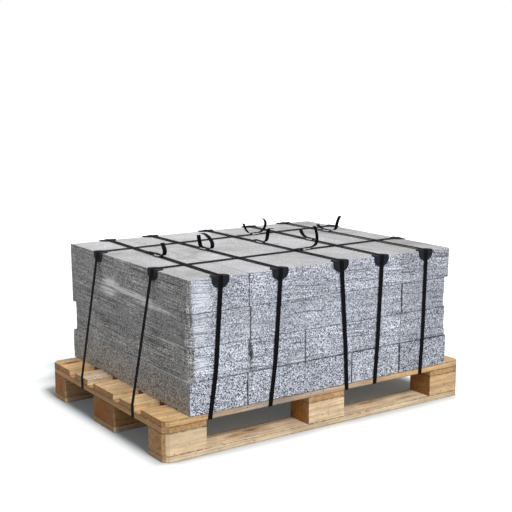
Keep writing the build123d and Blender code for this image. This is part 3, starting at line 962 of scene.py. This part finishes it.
def timber_shape(low, high, along, spacing, seed):
    """A board's points, the same points on the plain box, the faces and each face's axis."""
    lines = []
    for axis, (a, b) in enumerate(zip(low, high)):
        step = spacing[0] if axis == along else spacing[1]
        lines.append(grid_lines(a, b, step * MM, WOOD_MARGINS if axis == 2 else CUT_MARGINS))
    plain, faces, axes = grid_box(lines)
    wear = rough_noise(plain, WEAR_SIZE, seed)
    radius = WOOD_EDGE * (1 + 0.6 * wear) + DENT * np.clip(wear - DENT_THRESHOLD, 0, None)
    points, outward = round_off(plain, low, high, radius)
    grooves = plain.copy()
    grooves[:, along] *= GROOVE_STRETCH
    hollow = 0.5 + 0.5 * rough_noise(grooves, GROOVE_SIZE, seed + 3)
    points -= outward * (GROOVE_DEPTH * hollow)[:, None]
    for corner, inward in corner_cuts(low, high):
        points = cut_corner(points, corner, inward, (CORNER_CUT, CORNER_CUT))
    return points, plain, faces, axes


def take_wane(points, plain, low, high):
    """Bark side of a board: hollows along the upper half of its back."""
    upper = plain[:, 2] > low[2] + BOARD / 2
    near_back = np.clip((plain[:, 1] - high[1]) / WANE_REACH + 1, 0, 1) * upper
    for x, depth, reach in WANES:
        hollow = np.exp(-((plain[:, 0] - x * MM) / (reach * MM)) ** 2)
        points[:, 1] -= depth * MM * near_back * hollow


def tint_towards(tints, share, tint):
    tints[:, :3] += share[:, None] * (np.array(tint) - tints[:, :3])


def weather(tints, plain, low):
    weathered = (plain[:, 1] < low[1] + WEATHERED_EDGE) & (plain[:, 0] > WEATHERED_LEFT)
    share = weathered * np.clip(1 - (plain[:, 0] - WEATHERED_RIGHT) / WEATHERED_FADE, 0, 1)
    share *= np.clip(0.8 + 0.5 * rough_noise(plain, WEATHERED_SIZE, 5), 0, 1)
    tint_towards(tints, share, GREY)


def stain(tints, plain):
    for x, y, reach_x, reach_y, tint in STAINS:
        away = np.hypot((plain[:, 0] - x * MM) / (reach_x * MM), (plain[:, 1] - y * MM) / (reach_y * MM))
        tint_towards(tints, np.clip(2.2 - 2 * away, 0, 0.95), tint)


def make_timber(name, solid, along, seed, spacing, tint, material):
    """A board or block whose grain runs along X (0) or Y (1)."""
    low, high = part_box(solid)
    points, plain, faces, axes = timber_shape(low, high, along, spacing, seed)
    tints = np.tile((*tint, 1.0), (len(points), 1))
    if name == "bottom_runner_1":
        take_wane(points, plain, low, high)
        stain(tints, plain)
    if name == "deck_board_top_1":
        weather(tints, plain, low)
    piece = make_object(name, points, faces, material, "pallet_wood", [solid])
    draw = np.random.default_rng(seed)
    pith = PITHS.get(name, (draw.uniform(*PITH_ACROSS), draw.uniform(*PITH_UP)))
    across = 1 - along
    grain = np.column_stack([
        plain[:, along] + draw.uniform(0, TRUNK),
        plain[:, across] - (low[across] + high[across]) / 2 - pith[0],
        plain[:, 2] - (low[2] + high[2]) / 2 - pith[1],
    ])
    # Painted shade along the edges of the top and bottom faces, for the cracks where pieces meet
    to_face = np.minimum(plain - np.array(low), np.array(high) - plain)
    to_edge = np.maximum(to_face[:, 2], to_face[:, :2].min(axis=1))
    edge = np.clip(1.3 - 1.3 * to_edge / EDGE_SHADE_WIDTH, 0, 0.95)
    set_attributes(piece, grain=grain, tint=tints, edge=edge)
    set_attributes(piece, "FACE", end_grain=(axes == along) * (END_SHADE if along else 1.0))


def make_pallet(material):
    for solid, name, along, seed, spacing, tints in TIMBERS:
        for number, tint in enumerate(tints, start=1):
            make_timber(f"{name}_{number}", f"{solid}_{number}", along, seed + number, spacing,
                        tint, material)


# Nails: low domes in rows over the outer stringer boards, on the strips the kerbs leave bare
NAIL_RADIUS = 2.3 * MM
NAIL_HEIGHT = 0.7 * MM
NAIL_SINK = 0.3 * MM
NAIL_ROWS = (-562 * MM, 566 * MM)
NAIL_SHARES = (0.3, 0.75)
NAIL_STRAY = 6 * MM
NAIL_STRAY_SHARE = 0.05
NAIL_SIDES = 14
# A nail head's rings from the top down, as shares of its radius and of its height
NAIL_RINGS = [(0.5, 1.0), (0.92, 0.8), (1.0, 0.3), (0.9, -2.0)]


def make_nail(name, place, material):
    angles = np.linspace(0, 2 * math.pi, NAIL_SIDES, endpoint=False)
    ring = np.column_stack([-np.sin(angles), np.cos(angles), np.zeros(NAIL_SIDES)])
    rings = [place + ring * NAIL_RADIUS * reach + UP * NAIL_HEIGHT * height for reach, height in NAIL_RINGS]
    points, faces = loft(np.array(rings))
    make_object(name, points, faces, material, "buckle_wire", sharp=False)


def make_nails(material):
    draw = np.random.default_rng(77)
    spots_on_deck = itertools.product(range(1, 6), NAIL_ROWS, NAIL_SHARES)
    for count, (number, x, share) in enumerate(spots_on_deck, start=1):
        low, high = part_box(f"deck_board_{number}")
        y = low.y + (high.y - low.y) * (share + draw.uniform(-NAIL_STRAY_SHARE, NAIL_STRAY_SHARE))
        x += draw.uniform(-NAIL_STRAY, NAIL_STRAY)
        make_nail(f"nail_{count}", np.array([x, y, DECK_TOP - NAIL_SINK]), material)


# Bands, guards and buckles
LEG_TURN = 120 * MM
LEG_SPACING = 40 * MM
RUN_SPACING = 30 * MM
CURL_STEP = math.radians(7)
# The band's turn round the buckle's middle bar, in degrees
BAR_TURN = range(105, 271, 15)
FOLD_STEPS = 8
GUARD_ROWS = 9
GUARD_COLUMNS = 17
GUARD_TIP = 84
FOLD_ROWS = 7
GUARD_EDGE = 0.8 * MM
# A guard's outer surface, its rim and its underside, as shares of its thickness and how far in
GUARD_LEVELS = [(1.0, GUARD_EDGE), (0.7, 0.0), (0.08, 0.0)]
WIRE_SIDES = 12


def rounded_path(corners, cuts, steps=6):
    """A path through the given points, with each inner corner rounded from the given distance."""
    points = [corners[0]]
    for before, corner, after, cut in zip(corners, corners[1:], corners[2:], cuts):
        back = (before - corner) / np.linalg.norm(before - corner)
        ahead = (after - corner) / np.linalg.norm(after - corner)
        for share in np.linspace(0, 1, steps):
            start = corner + back * cut * (1 - share)
            end = corner + ahead * cut * share
            points.append(start * (1 - share) + end * share)
    points.append(corners[-1])
    return points


def finer(points, spacing):
    """The same path with more points on its long stretches."""
    result = [points[0]]
    for before, after in zip(points, points[1:]):
        steps = max(1, math.ceil(np.linalg.norm(after - before) / spacing))
        for step in range(1, steps + 1):
            result.append(before + (after - before) * step / steps)
    return result


def run_profile(reach, top_leaf, lean, tail):
    """From a tail's tip through the buckle to the end of the fold, as (along, up)."""
    at = np.array([BUCKLE_LENGTH / 2 + TAIL_START, 2 * TURN])
    angle = 0.0
    curl = [np.array([MIDDLE_BAR, 2 * TURN]), at]
    for radius, turn in tail:
        radius = radius * MM
        turn = math.radians(turn)
        side = math.copysign(1, turn)
        centre = at + side * radius * np.array([-math.sin(angle), math.cos(angle)])
        steps = max(3, math.ceil(abs(turn) / CURL_STEP))
        for step in range(1, steps + 1):
            here = angle + turn * step / steps
            at = centre + side * radius * np.array([math.sin(here), -math.cos(here)])
            curl.append(at)
        angle += turn
    points = curl[::-1]
    for degrees in BAR_TURN:
        around = math.radians(degrees)
        points.append(np.array([MIDDLE_BAR + TURN * math.cos(around), TURN + TURN * math.sin(around)]))
    points.append(np.array([reach, 0.0]))
    bend = top_leaf + HALF
    for share in np.linspace(0, 1, FOLD_STEPS + 1)[1:]:
        around = math.radians(90 + (lean - 90) * share)
        points.append(np.array([reach + bend * math.cos(around), bend * math.sin(around) - bend]))
    return points


def unit(vector):
    return vector / np.linalg.norm(vector)


def top_run(middle, fold, top_leaf, lean, tail, across):
    """Points of one run in space, and the direction of the band's width there."""
    heading = unit(fold - middle)
    reach = np.linalg.norm(fold - middle)
    square = np.cross(heading, UP)
    if np.dot(square, across) < 0:
        square = -square
    profile = finer(run_profile(reach, top_leaf, lean, tail), RUN_SPACING)
    return [middle + heading * u + UP * w for u, w in profile], square


def band_mesh(points, sides):
    """A flat band along a path, with its width in the given directions."""
    points = np.array(points)
    sides = np.array(sides)
    tangents = np.gradient(points, axis=0)
    tangents /= np.linalg.norm(tangents, axis=1, keepdims=True)
    sides = sides - tangents * np.sum(sides * tangents, axis=1, keepdims=True)
    sides /= np.linalg.norm(sides, axis=1, keepdims=True)
    normals = np.cross(tangents, sides)
    corners = [(-1, -1), (1, -1), (1, 1), (-1, 1)]
    return loft(np.stack([
        points + sides * STRAP_WIDTH / 2 * a + normals * STRAP_THICKNESS / 2 * b for a, b in corners
    ], axis=1))


def make_band(name, near, legs, far, near_side, far_side, across, material, replaced):
    """Joins both top runs by the legs, turning the band's width into line over LEG_TURN."""
    points = near + legs + far[::-1]
    travelled = np.cumsum([0] + [np.linalg.norm(b - a) for a, b in zip(legs, legs[1:])])
    sides = [near_side] * len(near)
    for distance in travelled:
        from_near = min(1.0, distance / LEG_TURN)
        from_far = min(1.0, (travelled[-1] - distance) / LEG_TURN)
        side = across * min(from_near, from_far)
        side = side + near_side * (1 - from_near) + far_side * (1 - from_far)
        sides.append(unit(side))
    sides += [far_side] * len(far)
    make_object(name, *band_mesh(points, sides), material, "strap", [replaced])


def half_moon_rows(straight, reach, inset):
    """Rows from the fold outwards to a leaf's tip, as (distance, half width)."""
    rows = [(straight * share, LEAF_WIDTH / 2 - inset) for share in (0.35, 0.7)]
    for degrees in np.linspace(0, GUARD_TIP, GUARD_ROWS):
        angle = math.radians(degrees)
        distance = straight + (reach - inset - straight) * math.sin(angle)
        rows.append((distance, (LEAF_WIDTH / 2 - inset) * math.cos(angle)))
    return rows


def guard_surface(height, inset, corner, along, outward, top_leaf):
    """One surface of a corner guard, as a grid of points from the top leaf's tip to the face
    leaf's tip. The height is a share of the leaf's thickness."""
    top = top_leaf * height
    face = LEAF * height
    rows = []
    for distance, half in reversed(half_moon_rows(TOP_LEAF_STRAIGHT, TOP_LEAF_DEPTH, inset)):
        rows.append((corner - outward * distance + UP * top, half))
    for share in np.linspace(0, 1, FOLD_ROWS):
        angle = share * math.pi / 2
        place = corner + UP * top * math.cos(angle) + outward * face * math.sin(angle)
        rows.append((place, LEAF_WIDTH / 2 - inset))
    for distance, half in half_moon_rows(FACE_LEAF_STRAIGHT, LEAF_DROP, inset):
        rows.append((corner - UP * distance + outward * face, half))
    across = np.linspace(-1, 1, GUARD_COLUMNS)
    return np.array([[place + along * half * share for share in across] for place, half in rows])


def make_guard(name, corner, along, top_leaf, material, replaced):
    outward = np.cross(along, UP)
    outer, rim, under = (
        guard_surface(height, inset, corner, along, outward, top_leaf) for height, inset in GUARD_LEVELS
    )
    rows, columns = outer.shape[:2]
    size = rows * columns
    grid = np.arange(size).reshape(rows, columns)
    border = np.concatenate([grid[0, :-1], grid[:-1, -1], grid[-1, :0:-1], grid[:0:-1, 0]])
    points = np.concatenate([outer.reshape(-1, 3), under.reshape(-1, 3), rim.reshape(-1, 3)[border]])
    faces = []
    for row in range(rows - 1):
        for column in range(columns - 1):
            face = (grid[row, column], grid[row, column + 1],
                    grid[row + 1, column + 1], grid[row + 1, column])
            faces.append(face[::-1])
            faces.append(tuple(size + number for number in face))
    loops = [border, 2 * size + np.arange(len(border)), size + border]
    for upper, lower in zip(loops, loops[1:]):
        faces += zip(upper, np.roll(upper, -1), np.roll(lower, -1), lower)
    make_object(name, points, faces, material, "corner_protector", [replaced])


def wire_tube(path, closed=False):
    """Round wire along a path that lies level."""
    path = np.array(path)
    if closed:
        tangents = np.roll(path, -1, axis=0) - np.roll(path, 1, axis=0)
    else:
        tangents = np.gradient(path, axis=0)
    tangents /= np.linalg.norm(tangents, axis=1, keepdims=True)
    out = np.cross(tangents, UP)
    angles = np.linspace(0, 2 * math.pi, WIRE_SIDES, endpoint=False)
    rings = [path + WIRE / 2 * (out * math.cos(a) + UP * math.sin(a)) for a in angles]
    return loft(np.stack(rings, axis=1), closed)


def make_buckle(name, middle, heading, material, replaced):
    half_width = BUCKLE_WIDTH / 2
    half_length = BUCKLE_LENGTH / 2
    outline = []
    for start, (sign_x, sign_y) in zip((0, 90, 180, 270), ((1, 1), (-1, 1), (-1, -1), (1, -1))):
        for degrees in range(start, start + 91, 15):
            angle = math.radians(degrees)
            outline.append((sign_x * (half_width - BUCKLE_BEND) + BUCKLE_BEND * math.cos(angle),
                            sign_y * (half_length - BUCKLE_BEND) + BUCKLE_BEND * math.sin(angle)))
    square = np.cross(heading, UP)
    centre = middle + UP * TURN
    ring = [centre + square * x + heading * y for x, y in outline]
    points, faces = wire_tube(ring, closed=True)
    for bar in (-MIDDLE_BAR, MIDDLE_BAR):
        ends = [centre + square * half_width * share + heading * bar for share in (-1, -0.5, 0, 0.5, 1)]
        more, more_faces = wire_tube(ends)
        faces += [tuple(number + len(points) for number in face) for face in more_faces]
        points = np.concatenate([points, more])
    make_object(name, points, faces, material, "buckle_wire", [replaced])


# Bands across the pack, in millimetres and degrees as in the solids: x at the front top, where
# the front length turns, front foot, back foot and back top, y of the buckle, both tails
CROSS = [
    (-403.5, -421.5, -444, -412, -370, 0, [(150, 4), (15, 131), (50, -22)], [(300, -4), (600, 4)]),
    (-187, -204, -223.5, -214, -197, 32, [(250, 4), (14.5, 133), (80, 54)], [(12, 67), (170, 11)]),
    (51, 74, 81.5, 82, 42, 42, [(20, 72), (110, 13), (14.5, -80), (200, -5)], [(150, 7)]),
    (221, 211, 201, 206, 241, -5, [(120, 9)], [(100, 8), (40, 57)]),
    (417.5, 413.5, 405, 409, 407, 127, [(90, 12), (22, 66), (95, -28)], [(70, 36)]),
]
TURN_HEIGHT = DECK_TOP + 1.25 * KERB_HEIGHT
LEAF_FOOT = STACK_TOP - LEAF_DROP - 2 * MM
STACK_FOOT = DECK_TOP + 2 * MM
# Bands along the pack: y at the left top, left foot, right foot and right top, x of the buckle,
# both tails
LONG = [
    (-186, -204, -184, -141, 88, [(800, -2)], [(75, 15), (21, 72), (85, 35)]),
    (190, 154, 196, 238, 140, [(18, 45), (75, 30)], [(34, 75), (21.5, 100)]),
]
# Both kinds of band: the axis they run along, the direction of their width, how thick their guards
# are on top, their guards' names, how far they lean out below each fold in degrees, and how far
# before and after each corner of their legs the bend goes, in millimetres
KINDS = {
    "cross": (1, (1.0, 0.0, 0.0), CROSS_TOP_LEAF, ("front", "back"), (0, 0), (4, 30, 1.5, 1.5, 3, 4)),
    "long": (0, (0.0, -1.0, 0.0), LONG_TOP_LEAF, ("left", "right"), (11.7, 8.6), (5, 1.5, 1.5, 5)),
}
# How far a band stands off the pallet's edge where it is not pulled tight
CROSS_SLACK = 0.6 * MM
LONG_SLACK = 0.2 * MM
LONG_RISE = 0.6 * MM


def bind(kind, number, edges, buckle_at, corners, tails, materials):
    """One band round the pack, with its buckle on top and a guard under it at both top edges. The
    corners are those of its legs, from below the first guard to below the second."""
    axis, width_way, top_leaf, sides, leans, cuts = KINDS[kind]
    strap, guard, wire = materials
    across = np.array(width_way)
    edges = np.array(edges)
    ways = (across, -across)
    outs = [np.cross(way, UP) * (LEAF - top_leaf) for way in ways]
    folds = [edge + out + UP * (top_leaf + HALF) for edge, out in zip(edges, outs)]
    share = (buckle_at - folds[0][axis]) / (folds[1][axis] - folds[0][axis])
    middle = folds[0] + (folds[1] - folds[0]) * share
    near, near_side = top_run(middle, folds[0], top_leaf, leans[0], tails[0], across)
    far, far_side = top_run(middle, folds[1], top_leaf, leans[1], tails[1], across)
    path = rounded_path([near[-1], *np.array(corners), far[-1]], np.array(cuts) * MM)
    legs = finer(path, LEG_SPACING)[1:-1]
    make_band(f"band_{kind}_{number}", near, legs, far, near_side, far_side, across, strap,
              f"strap_{kind}_{number}")
    make_buckle(f"wire_buckle_{kind}_{number}", middle, unit(folds[1] - folds[0]), wire,
                f"buckle_{kind}_{number}")
    for side, edge, way in zip(sides, edges, ways):
        make_guard(f"guard_{side}_{number}", edge, way, top_leaf, guard, f"corner_protector_{side}_{number}")


def bind_across(number, sizes, materials):
    places = [size * MM for size in sizes[:6]]
    front_top, front_turn, front_foot, back_foot, back_top, y_buckle = places
    front_share = LEAF_DROP / (STACK_TOP - TURN_HEIGHT)
    back_share = LEAF_DROP / (STACK_TOP - DECK_BASE)
    corners = [
        (front_top + (front_turn - front_top) * front_share, STACK_FRONT - LEAF - HALF, LEAF_FOOT),
        (front_turn, -PALLET_HALF_WIDTH - HALF - CROSS_SLACK, TURN_HEIGHT),
        (front_foot, -PALLET_HALF_WIDTH - HALF, DECK_BASE - HALF),
        (back_foot, PALLET_HALF_WIDTH + HALF, DECK_BASE - HALF),
        (back_foot, STACK_BACK + HALF, STACK_FOOT),
        (back_top + (back_foot - back_top) * back_share, STACK_BACK + LEAF + HALF, LEAF_FOOT),
    ]
    edges = [(front_top, STACK_FRONT, STACK_TOP), (back_top, STACK_BACK, STACK_TOP)]
    bind("cross", number, edges, y_buckle, corners, sizes[6:], materials)


def bind_along(number, sizes, materials):
    left_y, left_foot, right_foot, right_y, x_buckle = (size * MM for size in sizes[:5])
    end = PALLET_HALF_LENGTH + HALF
    corners = [
        (-end - LONG_SLACK, left_foot, DECK_TOP + LONG_RISE),
        (-end, left_foot, STRINGER_BASE - HALF),
        (end, right_foot, STRINGER_BASE - HALF),
        (end + LONG_SLACK, right_foot, DECK_TOP + LONG_RISE),
    ]
    edges = [(STACK_LEFT, left_y, STACK_TOP), (RIGHT_TOP, right_y, STACK_TOP)]
    bind("long", number, edges, x_buckle, corners, sizes[5:], materials)


def make_bands():
    strap = black_plastic("strap_plastic", BAND_BLACK, 0.03, 900.0)
    guard = black_plastic("moulded_plastic", GUARD_BLACK, 0.06, 500.0)
    materials = (strap, guard, zinc_wire())
    for number, sizes in enumerate(CROSS, start=1):
        bind_across(number, sizes, materials)
    for number, sizes in enumerate(LONG, start=1):
        bind_along(number, sizes, materials)


make_camera()
make_lights()
make_floor()
make_kerbs(granite())
make_pallet(wood())
make_nails(nail_steel())
make_bands()
